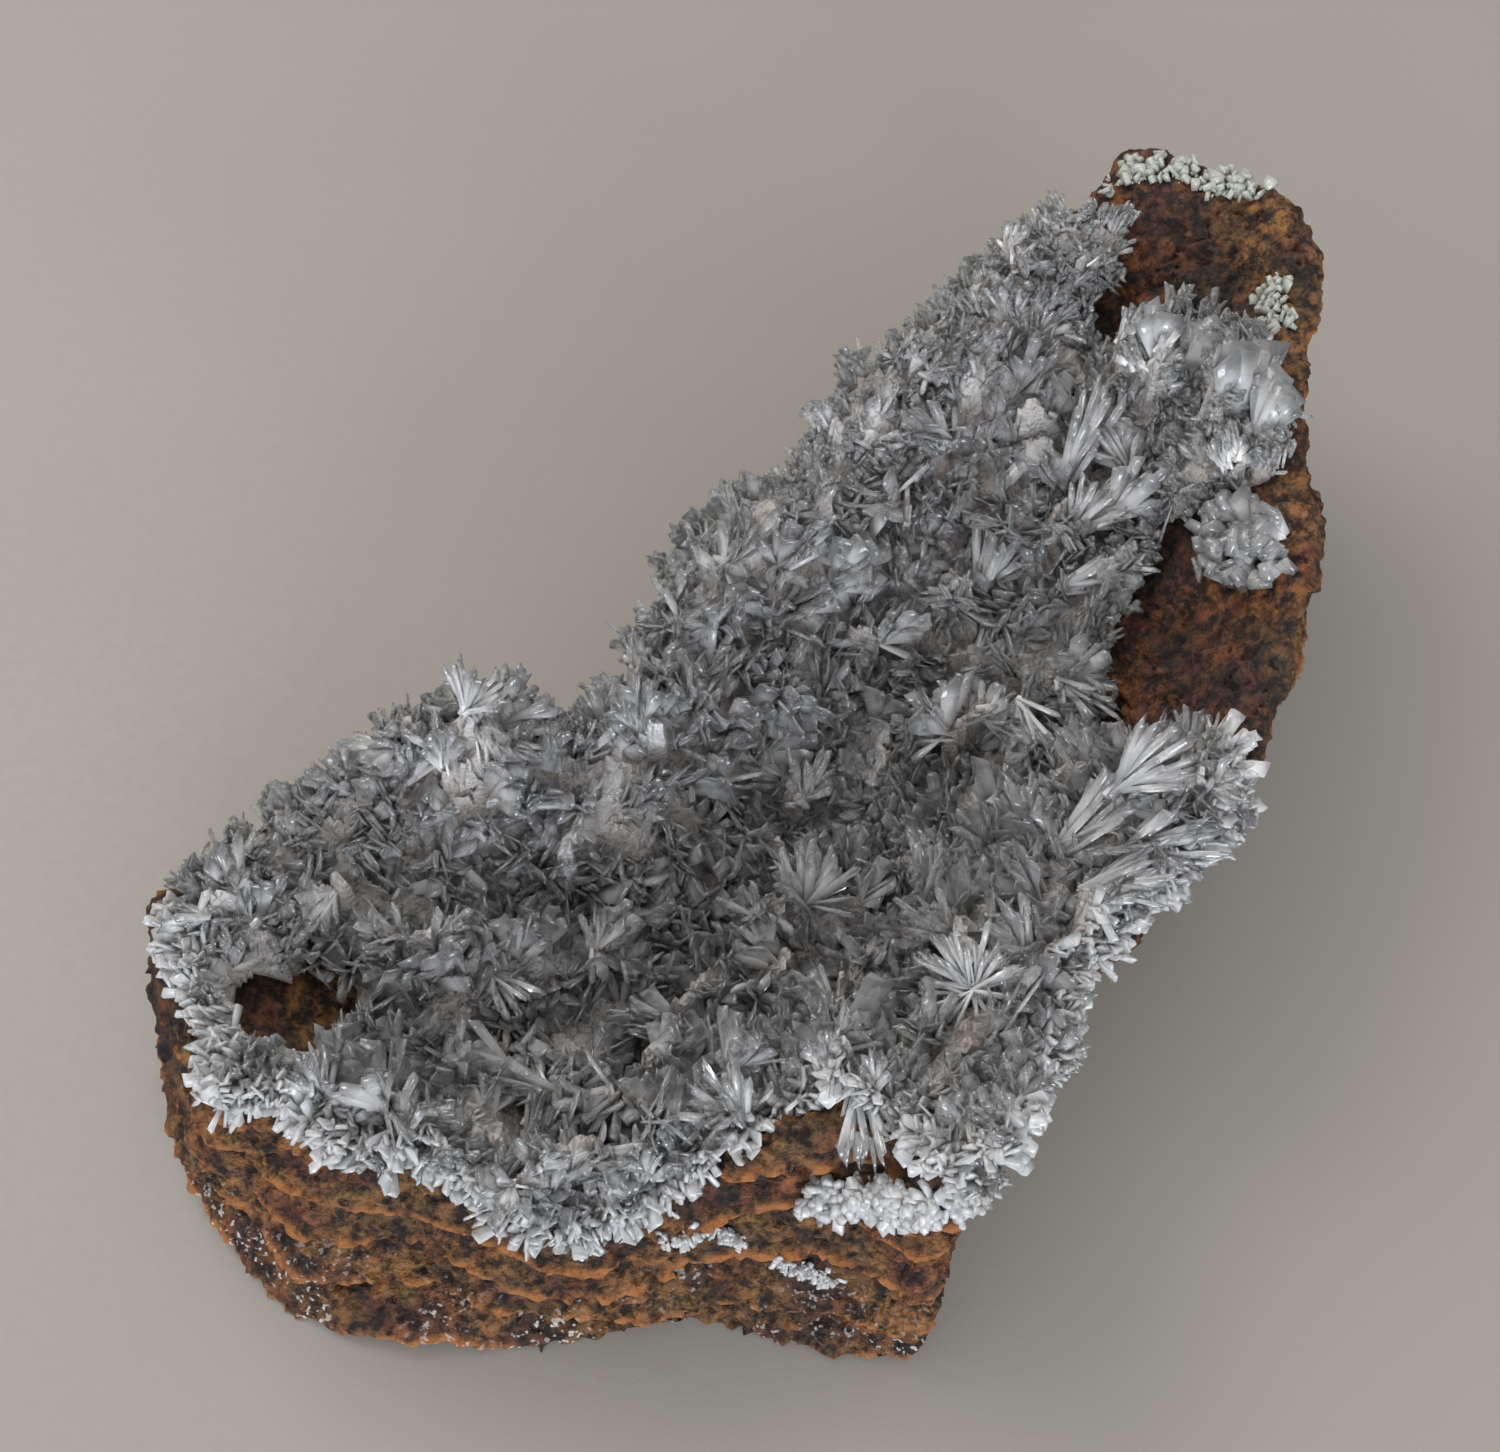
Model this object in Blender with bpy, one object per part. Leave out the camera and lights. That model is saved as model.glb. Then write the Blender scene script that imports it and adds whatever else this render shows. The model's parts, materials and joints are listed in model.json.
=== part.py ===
"""Hemimorphite on matrix: a broken piece of a vug wall, lined with clear bladed crystals.

The rock is an L-shaped lump of brown limonite, about 145 mm across and 50 mm high. It rests on its flat
underside, and a hollow runs along both arms. Its outer walls step in and out along the limonite's bands.
A crust of hemimorphite lines the hollow: thin six-sided tablets with chisel tips, grown together in sprays.
Five smaller growths sit apart from the crust: on the right arm, its rim and its far end, and as two seams
in the front wall.

Lists of places are in millimetres, as seen from above with +X to the right and +Y away from the viewer.
"""

import math
import random

import bmesh
import bpy
import numpy as np
from mathutils import Matrix, Vector, noise
from mathutils.bvhtree import BVHTree
from mathutils.geometry import delaunay_2d_cdt

MM = 0.001

# The rock's outline, anticlockwise from its front right corner as seen from above: where the wall stands
# on the table (x, y), and the broken rim above it (x, y, z).
WALL = [
    ((19, -73), (20, -66, 38)),
    ((18.5, -60), (21.5, -58, 36)),
    ((20, -51), (26, -49, 33)),
    ((25, -42), (32, -41, 30)),
    ((34, -33), (41, -31, 31)),
    ((44, -23), (50, -22, 35)),
    ((51, -14), (59, -14, 38)),
    ((57, -3), (63, -3, 42)),
    ((62, 11), (68, 11, 42)),
    ((63, 25), (68, 24, 44)),
    ((65, 41), (70, 39, 46)),
    ((66, 53), (71.5, 53, 48)),
    ((64, 61), (70, 63, 48)),
    ((56, 67), (61, 70, 47)),
    ((49, 70), (53, 76, 46)),
    ((40, 64), (43, 67, 43)),
    ((30, 53), (32, 59, 39)),
    ((18, 39), (20, 47, 35)),
    ((8, 27), (10, 34, 33)),
    ((1, 18), (2, 24, 32)),
    ((-7, 9), (-8, 15, 30)),
    ((-11, 1), (-14, 5, 28)),
    ((-13, -6), (-15, -3, 27)),
    ((-21, -10), (-22, -7, 27)),
    ((-30, -12), (-30, -8, 34)),
    ((-40, -16), (-41, -11, 33)),
    ((-50, -23), (-51, -20, 30)),
    ((-60, -28), (-60, -24, 29)),
    ((-68, -33), (-67, -29, 31)),
    ((-70, -43), (-64, -42, 32)),
    ((-66, -52), (-59, -54, 33)),
    ((-60, -61), (-52, -56, 33)),
    ((-54, -67), (-45, -59, 31)),
    ((-46, -70), (-38, -61, 30)),
    ((-36, -72), (-30, -62, 29)),
    ((-24, -71), (-22, -67, 26)),
    ((-14, -70), (-14, -67, 26)),
    ((-5, -68), (-6, -63, 30)),
    ((3, -71), (3, -59, 34)),
    ((11, -73), (12, -60, 37)),
]

# Heights of the hollow's floor and of the bare slope on the right arm, (x, y, z).
FLOOR = [
    (-52, -40, 25), (-40, -44, 18), (-44, -28, 22), (-28, -46, 13), (-28, -26, 15), (-14, -44, 11),
    (-12, -24, 10), (0, -40, 9), (2, -12, 10), (14, -36, 9), (14, -18, 7), (18, 0, 10), (4, 6, 17),
    (28, -30, 17), (32, -14, 14), (36, -20, 22), (30, 14, 16), (20, 26, 24), (40, 0, 19), (36, 34, 26),
    (42, 18, 24), (46, 48, 32), (52, 4, 30), (54, 34, 34), (58, 52, 40), (44, -12, 26),
    (-20, -56, 19), (0, -52, 22), (16, -50, 24), (24, -44, 24), (-36, -54, 23), (-50, -50, 29),
]

# Where the walls are hollowed: centre (x, y, z), radius and depth.
DENTS = [
    ((-38, -68, 14), 13, 4.5),
    ((-56, -60, 12), 9, 2.5),
    ((12, -64, 35), 8, 5.0),
    ((34, -44, 12), 12, 3.0),
    ((-20, -72, 6), 10, 2.0),
    ((64, -6, 22), 10, 3.0),
    ((-12, 2, 14), 12, 3.0),
]

ROCK_CENTRE = (12, -17)
LOOP_STEPS = 4                  # points to each span of the outline
WALL_RINGS = 10
UNDERSIDE_RINGS = (0.5, 1.0)    # shares of the way from the centre to the foot of the wall
HOLLOW_RINGS = (0.97, 0.92, 0.85, 0.77, 0.68, 0.58, 0.48, 0.38, 0.28, 0.18, 0.09)
RIM_BAND = 0.1                  # the outer share of the upper face that blends into the rim
CUT_DEPTH = 3 * MM              # how far the rock is built below the table before it is cut flat
REMESH_SIZE = 1.8 * MM
ROCK_TRIANGLES = 3300
LEDGE_PITCH = 7.5 * MM          # height of one band of limonite
LEDGE_REACH = 2.6 * MM          # how far a band's lower lip stands out
LUMP_SIZE, LUMP_REACH = 11 * MM, 1.6 * MM
GRIT_SIZE, GRIT_REACH = 4.2 * MM, 0.8 * MM

# The crust's patches: edge, spacing of the facets and thickness away from the edge.
HOLLOW_PATCH = (
    [
        (-63.5, -31), (-62, -38.5), (-59, -44.5), (-56.5, -48), (-56, -55), (-48, -54), (-45, -58),
        (-39, -60), (-31.5, -59.5), (-25, -65.5), (-19, -67), (-11.5, -64), (-5, -61.5), (2, -58),
        (8, -57), (15, -60.5), (17, -63), (19.5, -67.5), (24, -64.5), (29, -54.5), (34.5, -46),
        (35, -39), (40.5, -35), (46, -29), (51, -26), (55, -21), (54, -13), (50, -9), (44, -8),
        (42, -2), (44.5, 3), (45, 9), (48, 16), (51.5, 20), (52, 26), (50, 38), (47, 48), (43, 51),
        (45, 55), (49, 59), (49.5, 63), (42.5, 65.5), (35, 62.5), (31, 60.5), (25, 53), (15.5, 47),
        (9.5, 37), (2.5, 27), (-3, 26), (-8.5, 19), (-10.5, 12), (-14.5, 6), (-15, -2), (-22.5, -5.5),
        (-27, -5.2), (-31.5, -5.5), (-42, -8), (-45.5, -12), (-54, -17.5), (-60, -21), (-63.5, -28),
    ],
    7.6,
    2.4,
)
ARM_PATCH = (
    [(49, 23), (54, 22), (58, 21), (63.5, 20.5), (66, 29), (65, 40), (61, 46), (57, 51), (52, 51), (46, 40)],
    5.0,
    3.0,
)
LEDGE_PATCH = (
    [(4, -66), (8, -67.5), (14, -69), (21, -68.5), (23, -64), (14, -64), (8, -64.5)],
    4.0,
    1.2,
)
MOUNDS = [
    (-31, -11, 9, 4.5), (46, -22, 9, 4.0), (9, -20, 8, 3.5), (26, -41, 8, 3.0), (-30, -36, 7, 2.5),
    (31, 12, 9, 3.0), (47, 12, 7, 2.5), (-20, -62, 7, 2.5), (56, 33, 6, 2.5), (-8, -38, 7, 2.0),
]
WINDOW = ((-49, -43.5), 5.0, 3.6)   # where the rock shows through the crust: centre and half sizes

GRID_REACH, GRID_JITTER, GRID_MARGIN = 14, 0.15, 0.4    # rows each way, and shares of the facets' spacing
ROW_RISE = 0.87                 # a row's distance from the next, as a share of the spacing
CRUST_EDGE_THICKNESS = 1.5 * MM
CRUST_SINK = 1.6 * MM           # how deep the crust starts in the rock before it is cut back
CRUST_SPIKE = 2.0 * MM          # how far the facets' corners stand out or draw in
CLEARANCE = 0.4 * MM            # gap that is left between a growth and the rock

# The sprays of blades: root (x, y), the way they lean (x, y), scale and number of blades.
SPRAYS = [
    ((12, -40), (0.3, 0.6), 1.25, 3), ((-6, -39), (-0.4, 0.7), 1.2, 2), ((-21, -54), (0.5, 0.3), 1.1, 3),
    ((-30, -36), (-0.2, 0.2), 1.1, 4), ((-19, -62), (0.1, -0.3), 1.15, 4), ((-10, -57), (0.2, 0.0), 1.0, 3),
    ((0, -54), (0.3, -0.3), 1.1, 3), ((10, -53), (0.0, -0.5), 1.0, 3), ((24, -41), (0.2, 0.1), 1.15, 4),
    ((22, -58), (0.3, -0.2), 1.0, 3), ((45, -23), (0.5, 0.5), 1.15, 4), ((50, -20), (0.7, 0.2), 0.9, 2),
    ((39, -15), (0.0, 0.8), 1.15, 4), ((33, -16), (-0.4, 0.3), 1.1, 2), ((6, -21), (0.3, 0.4), 1.2, 4),
    ((20, -22), (0.5, 0.5), 1.0, 2), ((31, 8), (0.3, -0.5), 1.2, 4), ((28, 17), (0.2, 0.6), 1.15, 3),
    ((41, 36), (0.1, 0.6), 1.3, 3), ((46, 13), (0.6, 0.1), 1.0, 3), ((29, 1), (0.1, -0.7), 1.2, 4),
    ((38, 5), (0.5, -0.4), 1.0, 2), ((-31, -13), (-0.3, 0.3), 1.0, 4), ((-37, -16), (-0.5, 0.5), 1.0, 2),
    ((-57, -31), (-0.4, 0.3), 0.9, 2), ((-44, -55), (0.2, -0.5), 1.0, 3),
    ((-53, -53), (-0.3, -0.5), 0.75, 2),
    ((-47, -29), (-0.2, 0.4), 1.0, 2), ((-39, -36), (0.3, 0.2), 1.05, 3), ((-23, -18), (0.1, 0.5), 1.0, 3),
    ((-13, -20), (-0.3, 0.5), 1.05, 3), ((-13, -8), (-0.1, 0.6), 0.95, 2), ((-10, 0), (-0.6, 0.4), 0.8, 2),
    ((-1, 16), (-0.5, 0.6), 0.8, 3), ((12, 33), (-0.6, 0.4), 0.75, 2), ((22, 44), (-0.5, 0.5), 0.75, 3),
    ((36, 56), (-0.4, 0.6), 0.75, 2), ((1, 1), (-0.3, 0.4), 1.0, 2), ((12, 10), (-0.2, 0.5), 1.0, 2),
    ((19, 26), (-0.2, 0.5), 0.85, 3), ((27, 36), (-0.1, 0.6), 0.8, 3), ((15, -3), (0.3, 0.4), 1.0, 2),
    ((46, 27), (0.3, 0.2), 0.95, 3), ((30, -36), (0.6, -0.3), 1.0, 3), ((30, -47), (0.5, -0.2), 0.9, 2),
    ((1, -30), (0.3, 0.5), 1.1, 3), ((-28, -46), (0.0, -0.2), 1.05, 2), ((-36, -57), (0.0, -0.6), 0.9, 3),
    ((53, 38), (-0.2, 0.7), 1.15, 2), ((60, 32), (0.6, 0.3), 1.2, 3), ((58, 22), (0.0, -0.6), 1.1, 3),
    ((-16, -32), (0.1, 0.4), 1.05, 2), ((36, 23), (0.2, 0.4), 1.0, 2), ((37, -29), (0.5, -0.2), 1.0, 2),
    ((-8, -50), (-0.2, 0.2), 1.0, 2), ((5, -9), (0.2, 0.5), 1.0, 2), ((43, 57), (0.0, 0.5), 0.7, 2),
]
BLADE_LENGTH = (7.0, 10.5)
BLADE_WIDTH = (2.4, 3.8)
BLADE_THICKNESS = 1.2
BLADE_ROOT_WIDTH, BLADE_SHOULDER = 0.55, 0.78   # shares of the blade's width and length
BLADE_TIP = ((0.2, 1.0), (-0.24, 0.93))         # the chisel's two ends: across and along the blade
FAN_STEP, FAN_WOBBLE, FAN_TILT = math.radians(30), 0.12, 0.35
BLADE_FOOT = 2.4                # height of a spray's root above the rock

# The growths that stand apart from the crust: name, edge, spacing of the facets, thickness, and sprays.
GROWTHS = [
    (
        "edge_cluster",
        [(54.6, 13), (58.5, 11.3), (62.7, 9), (63.6, 14), (60.6, 17.7), (57, 19), (55, 18.5)],
        2.2,
        1.6,
        [((57, 16), (-0.3, -0.2), 0.5, 3), ((61, 13.5), (0.4, 0.3), 0.55, 3)],
    ),
    (
        "tip_druse",
        [
            (46, 67), (50, 68.5), (54, 68), (58, 66), (62, 64.5), (65.5, 62.5), (67, 64.5), (63, 67.5),
            (58.5, 69.5), (54, 72), (50, 71.5), (47, 69.5),
        ],
        2.0,
        1.6,
        [],
    ),
    ("rim_druse", [(64.6, 42), (67, 42.2), (67.6, 47), (67, 51), (65, 51), (64.4, 46.5)], 1.9, 1.6, []),
]
# The seams: name, start and end (x, y, z), and radius.
SEAM_SIDES, SEAM_RINGS = 6, 8
SEAMS = [
    ("front_seam", (-9.5, -66, 24), (-1, -66, 18.5), 1.1),
    ("lower_seam", (2.8, -67, 14.5), (9, -68, 13), 0.9),
]

COLOURS = {
    "limonite": ((0.19, 0.085, 0.03, 1.0), 0.9, 0.0),
    "hemimorphite": ((0.80, 0.83, 0.88, 1.0), 0.08, 0.9),
}


def clear_scene():
    for obj in list(bpy.data.objects):
        bpy.data.objects.remove(obj)


def material(name):
    """A Principled material: colour, roughness and how much light passes through."""
    colour, roughness, transmission = COLOURS[name]
    made = bpy.data.materials.new(name)
    made.use_nodes = True
    shader = made.node_tree.nodes["Principled BSDF"]
    shader.inputs["Base Color"].default_value = colour
    shader.inputs["Roughness"].default_value = roughness
    shader.inputs["Transmission Weight"].default_value = transmission
    shader.inputs["IOR"].default_value = 1.62 if transmission else 1.5
    return made


def add_object(name, points, faces, look=None):
    mesh = bpy.data.meshes.new(name)
    mesh.from_pydata([tuple(p) for p in points], [], faces)
    mesh.update()
    obj = bpy.data.objects.new(name, mesh)
    bpy.context.scene.collection.objects.link(obj)
    if look is not None:
        mesh.materials.append(look)
    return obj


def bake_modifiers(obj):
    """Replaces the object's mesh by its evaluated mesh, and drops the modifiers."""
    graph = bpy.context.evaluated_depsgraph_get()
    mesh = bpy.data.meshes.new_from_object(obj.evaluated_get(graph))
    obj.modifiers.clear()
    obj.data = mesh


def smooth_loop(rows, steps):
    """Points on a closed Catmull-Rom curve through rows of numbers, with steps to each span."""
    rows = np.array(rows, float)
    before, after, beyond = np.roll(rows, 1, 0), np.roll(rows, -1, 0), np.roll(rows, -2, 0)
    made = []
    for i in range(len(rows)):
        for t in (k / steps for k in range(steps)):
            made.append(
                0.5
                * (
                    2 * rows[i]
                    + (after[i] - before[i]) * t
                    + (2 * before[i] - 5 * rows[i] + 4 * after[i] - beyond[i]) * t**2
                    + (3 * rows[i] - before[i] - 3 * after[i] + beyond[i]) * t**3
                )
            )
    return np.array(made)


def ground_heights():
    """Every known height of the rock's upper face, (x, y, z) in metres."""
    return np.array([rim for _, rim in WALL] + FLOOR, float) * MM


def height_at(x, y, known, softness=5 * MM):
    """The upper face's height at a place, as the known heights weighted by nearness."""
    distance = (known[:, 0] - x) ** 2 + (known[:, 1] - y) ** 2 + softness**2
    weight = distance**-2.0
    return float((weight * known[:, 2]).sum() / weight.sum())


def rock_form():
    """The rock's smooth form as rings of points: underside, walls, rim and hollow."""
    known = ground_heights()
    rows = smooth_loop([(*foot, *rim) for foot, rim in WALL], LOOP_STEPS) * MM
    centre = np.array(ROCK_CENTRE) * MM
    count = len(rows)
    points = [(*centre, -CUT_DEPTH)]
    for share in UNDERSIDE_RINGS:
        points += [(*(centre + (row[:2] - centre) * share), -CUT_DEPTH) for row in rows]
    for share in np.linspace(1 / WALL_RINGS, 1.0, WALL_RINGS):
        for row in rows:
            x, y = row[:2] * (1 - share) + row[2:4] * share
            points.append((x, y, -CUT_DEPTH + (row[4] + CUT_DEPTH) * share))
    for share in HOLLOW_RINGS:
        for row in rows:
            x, y = centre + (row[2:4] - centre) * share
            near_rim = max(0.0, 1 - (1 - share) / RIM_BAND)
            points.append((x, y, height_at(x, y, known) * (1 - near_rim) + row[4] * near_rim))
    points.append((*centre, height_at(*centre, known)))
    faces = ring_faces(count, (len(points) - 2) // count)
    return points, faces


def ring_faces(count, rings):
    """Faces of a closed form made of a first point, rings of count points each, and a last point."""
    faces = [(0, 1 + (i + 1) % count, 1 + i) for i in range(count)]
    for ring in range(rings - 1):
        low, high = 1 + ring * count, 1 + (ring + 1) * count
        for i in range(count):
            j = (i + 1) % count
            faces.append((low + i, low + j, high + j, high + i))
    last, top = 1 + (rings - 1) * count, 1 + rings * count
    faces += [(last + i, last + (i + 1) % count, top) for i in range(count)]
    return faces


def band_offset(p):
    """The limonite's bands: each stands out at its lower lip and draws in above it."""
    wave = 4.5 * MM * noise.noise(p / (28 * MM)) + 1.3 * MM * math.sin(p.x / (13 * MM) + p.y / (19 * MM))
    share = ((p.z + wave) / LEDGE_PITCH) % 1.0
    return LEDGE_REACH * (0.55 - share)


def dent_offset(p):
    """How far the wall is hollowed at p."""
    depth = 0.0
    for centre, radius, reach in DENTS:
        near = 1 - (p - Vector(centre) * MM).length / (radius * MM)
        if near > 0:
            depth += reach * MM * near * near * (3 - 2 * near)
    return depth


def roughen(mesh):
    """Moves each point of the rock's skin along its normal: bands on the walls, lumps and grit all over."""
    patches = (HOLLOW_PATCH, ARM_PATCH, LEDGE_PATCH)
    moved = []
    for vertex in mesh.vertices:
        p, normal = vertex.co, vertex.normal
        covered = normal.z > 0.1 and any(inside(p.x / MM, p.y / MM, patch[0]) for patch in patches)
        steep = max(0.0, 1 - abs(normal.z) * 1.25)
        lumps = LUMP_REACH * noise.noise(p / LUMP_SIZE) + GRIT_REACH * noise.noise(p / GRIT_SIZE)
        offset = steep * (band_offset(p) - dent_offset(p)) + lumps * (0.35 + 0.65 * steep)
        moved.append(p + normal * (offset * (0.1 if covered else 1.0)))
    for vertex, place in zip(mesh.vertices, moved):
        vertex.co = place


def cut_flat(mesh):
    """Cuts the rock at the table's height and closes the cut with one flat face."""
    form = bmesh.new()
    form.from_mesh(mesh)
    everything = form.verts[:] + form.edges[:] + form.faces[:]
    bmesh.ops.bisect_plane(
        form, geom=everything, plane_co=(0, 0, 0), plane_no=(0, 0, 1), clear_inner=True, dist=1e-7
    )
    open_edges = [edge for edge in form.edges if edge.is_boundary]
    bmesh.ops.holes_fill(form, edges=open_edges, sides=0)
    for vertex in form.verts:
        if abs(vertex.co.z) < 1e-6:
            vertex.co.z = 0.0
    bmesh.ops.triangulate(form, faces=form.faces[:])
    bmesh.ops.recalc_face_normals(form, faces=form.faces[:])
    form.to_mesh(mesh)
    form.free()


def make_rock(look):
    points, faces = rock_form()
    rock = add_object("matrix", points, faces, look)
    remesh = rock.modifiers.new("even skin", "REMESH")
    remesh.mode = "VOXEL"
    remesh.voxel_size = REMESH_SIZE
    bake_modifiers(rock)
    roughen(rock.data)
    thin = rock.modifiers.new("fewer faces", "DECIMATE")
    thin.ratio = ROCK_TRIANGLES / (2 * len(rock.data.polygons))
    bake_modifiers(rock)
    cut_flat(rock.data)
    if not rock.data.materials:
        rock.data.materials.append(look)
    return rock


def tree_of(obj):
    """The object's surface as a tree, for rays and nearest points."""
    form = bmesh.new()
    form.from_mesh(obj.data)
    tree = BVHTree.FromBMesh(form)
    form.free()
    return tree


def rock_top(tree, known, x, y):
    """Height and normal of the rock's upper face at a place, carried on past its rim."""
    hit, normal, _, _ = tree.ray_cast(Vector((x, y, 1.0)), Vector((0, 0, -1)))
    if hit is None or hit.z < height_at(x, y, known) - 4 * MM:
        return height_at(x, y, known), Vector((0, 0, 1))
    return hit.z, normal


def blade(root, along, across, length, width, thickness):
    """Points and faces of one tabular crystal: a flat lath with a narrow root and a chisel tip."""
    normal = along.cross(across).normalized()
    across = normal.cross(along).normalized()
    points = []
    for height, spread in ((0, BLADE_ROOT_WIDTH), (BLADE_SHOULDER * length, 1.0)):
        for u, v in ((0.5, 0.5), (-0.5, 0.5), (-0.5, -0.5), (0.5, -0.5)):
            points.append(root + along * height + across * (u * width * spread) + normal * (v * thickness))
    points += [root + along * (high * length) + across * (side * width) for side, high in BLADE_TIP]
    faces = [(3, 2, 1, 0)]
    faces += [(i, (i + 1) % 4, 4 + (i + 1) % 4, 4 + i) for i in range(4)]
    faces += [(4, 5, 9), (4, 9, 8), (5, 6, 9), (6, 7, 8), (6, 8, 9), (7, 4, 8)]
    return points, faces


def spray(root, axis, rng, count, scale=1.0):
    """Blades that fan out from one root, most of them in one plane."""
    aside = axis.orthogonal().normalized()
    aside.rotate(Matrix.Rotation(rng.uniform(0, math.tau), 3, axis))
    made = []
    for k in range(count):
        lean = (k - (count - 1) / 2) * FAN_STEP + rng.uniform(-FAN_WOBBLE, FAN_WOBBLE)
        along = (axis * math.cos(lean) + aside * math.sin(lean)).normalized()
        along.rotate(Matrix.Rotation(rng.uniform(-FAN_TILT, FAN_TILT), 3, aside))
        length, width = rng.uniform(*BLADE_LENGTH), rng.uniform(*BLADE_WIDTH)
        sizes = (size * MM * scale for size in (length, width, BLADE_THICKNESS))
        made.append(blade(root, along, aside, *sizes))
    return made


def inside(x, y, edge):
    """True if the place lies within a closed outline."""
    odd = False
    for (ax, ay), (bx, by) in zip(edge, edge[1:] + edge[:1]):
        if (ay > y) != (by > y) and x < (bx - ax) * (y - ay) / (by - ay) + ax:
            odd = not odd
    return odd


def edge_distance(x, y, edge):
    """Distance from a place to a closed outline."""
    place, best = Vector((x, y)), math.inf
    for start, end in zip(edge, edge[1:] + edge[:1]):
        start, end = Vector(start), Vector(end)
        span = end - start
        share = min(1.0, max(0.0, (place - start).dot(span) / span.length_squared))
        best = min(best, (start + span * share - place).length)
    return best


def patch_places(edge, spacing, rng):
    """The outline's points, then a scattered triangular grid of points inside it."""
    places = [Vector(point) for point in edge]
    middle = np.mean(edge, axis=0)
    rows = range(-GRID_REACH, GRID_REACH + 1)
    for row in rows:
        for column in rows:
            x = middle[0] + (column + 0.5 * (row % 2) + rng.uniform(-GRID_JITTER, GRID_JITTER)) * spacing
            y = middle[1] + (row + rng.uniform(-GRID_JITTER, GRID_JITTER)) * spacing * ROW_RISE
            if inside(x, y, edge) and edge_distance(x, y, edge) > spacing * GRID_MARGIN:
                places.append(Vector((x, y)))
    return places


def rock_range(tree, known, x, y, reach):
    """The lowest and highest points of the rock's upper face about a place."""
    around = ((0, 0), (reach, 0), (-reach, 0), (0, reach), (0, -reach))
    heights = [rock_top(tree, known, x + dx, y + dy)[0] for dx, dy in around]
    return min(heights), max(heights)


def patch_form(patch, tree, known, rng):
    """One patch of crust: a sheet that starts in the rock, under a sheet of sharp facets."""
    edge, spacing, thickness = patch
    rim = len(edge)
    places, _, triangles, _, _, _ = delaunay_2d_cdt(
        patch_places(edge, spacing, rng), [], [tuple(range(rim))], 1, 1e-4
    )
    count, lower, upper = len(places), [], []
    for x, y in places:
        low, high = rock_range(tree, known, x * MM, y * MM, 0.25 * spacing * MM)
        swell = min(1.0, edge_distance(x, y, edge) / (0.8 * spacing))
        mound = sum(h * max(0.0, 1 - math.hypot(x - a, y - b) / r) for a, b, r, h in MOUNDS)
        spike = CRUST_SPIKE * min(1.0, thickness / 2) * rng.choice((-1, 1)) * rng.uniform(0.4, 1.0) * swell
        lower.append((x * MM, y * MM, low - CRUST_SINK))
        height = high + CRUST_EDGE_THICKNESS + (thickness * swell + mound) * MM + spike
        upper.append((x * MM, y * MM, height))
    faces = [tuple(count + i for i in face) for face in triangles]
    faces += [tuple(reversed(face)) for face in triangles]
    faces += [(i, (i + 1) % rim, count + (i + 1) % rim, count + i) for i in range(rim)]
    return lower + upper, faces


def clear_of_rock(form, tree):
    """True if a blade's tip and sides stay out of the rock."""
    points = form[0]
    root = sum(points[:4], Vector()) / 4
    for tip in points[4:]:
        span = tip - root
        hit, _, _, _ = tree.ray_cast(root + span * 0.45, span.normalized(), span.length * 0.6)
        near, normal, _, _ = tree.find_nearest(tip)
        if hit is not None or (tip - near).dot(normal) < CLEARANCE:
            return False
    return True


def blades_of(sprays, tree, known, rng):
    """The blades of several sprays, with those that would enter the rock left out."""
    made = []
    for (x, y), lean, scale, count in sprays:
        top, normal = rock_top(tree, known, x * MM, y * MM)
        axis = (normal * 0.6 + Vector((*lean, 0.75))).normalized()
        root = Vector((x * MM, y * MM, top + BLADE_FOOT * MM))
        made += [form for form in spray(root, axis, rng, count, scale) if clear_of_rock(form, tree)]
    return made


def combine(obj, others, operation):
    """Joins the others to obj or cuts them away, one after another, and removes them."""
    for other in others:
        step = obj.modifiers.new(operation.lower(), "BOOLEAN")
        step.operation = operation
        step.object = other
        step.solver = "MANIFOLD"
    bake_modifiers(obj)
    for other in others:
        bpy.data.objects.remove(other)


def objects_of(forms):
    """An object for each form of points and faces."""
    return [add_object("form", *form) for form in forms]


def rock_cutters(rock):
    """Three copies of the rock: one grown by the clearance, one raised by half of it, and one as it is."""
    grown, raised, plain = (bpy.data.objects.new("cutter", rock.data.copy()) for _ in range(3))
    for cutter in (grown, raised, plain):
        bpy.context.scene.collection.objects.link(cutter)
    for vertex in grown.data.vertices:
        vertex.co += vertex.normal * CLEARANCE
    for vertex in raised.data.vertices:
        vertex.co.z += CLEARANCE / 2
    return [grown, raised, plain]


def keep_largest(obj):
    """Leaves the object's largest body, without the crumbs and bubbles that a cut leaves beside it."""
    form = bmesh.new()
    form.from_mesh(obj.data)
    left, bodies = set(form.faces), []
    while left:
        body, todo = [], [left.pop()]
        while todo:
            face = todo.pop()
            body.append(face)
            joined = [other for edge in face.edges if len(edge.link_faces) == 2 for other in edge.link_faces]
            todo += [other for other in set(joined) if other in left]
            left.difference_update(joined)
        bodies.append(body)
    bodies.sort(key=len)
    for body in bodies[:-1]:
        bmesh.ops.delete(form, geom=body, context="FACES")
    bmesh.ops.triangulate(form, faces=form.faces[:])
    form.to_mesh(obj.data)
    form.free()


def make_window():
    """An eight-sided cutter for the place where the rock shows through the crust."""
    (cx, cy), half_x, half_y = WINDOW
    points = []
    for z in (0, 80):
        for k in range(8):
            angle = math.tau * k / 8
            wobble = 1 + 0.14 * math.sin(3 * angle + 1)
            x = cx + half_x * wobble * math.cos(angle)
            y = cy + half_y * wobble * math.sin(angle)
            points.append(Vector((x, y, z)) * MM)
    faces = [tuple(range(7, -1, -1)), tuple(range(8, 16))]
    faces += [(k, (k + 1) % 8, 8 + (k + 1) % 8, 8 + k) for k in range(8)]
    return add_object("window", points, faces)


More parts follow.
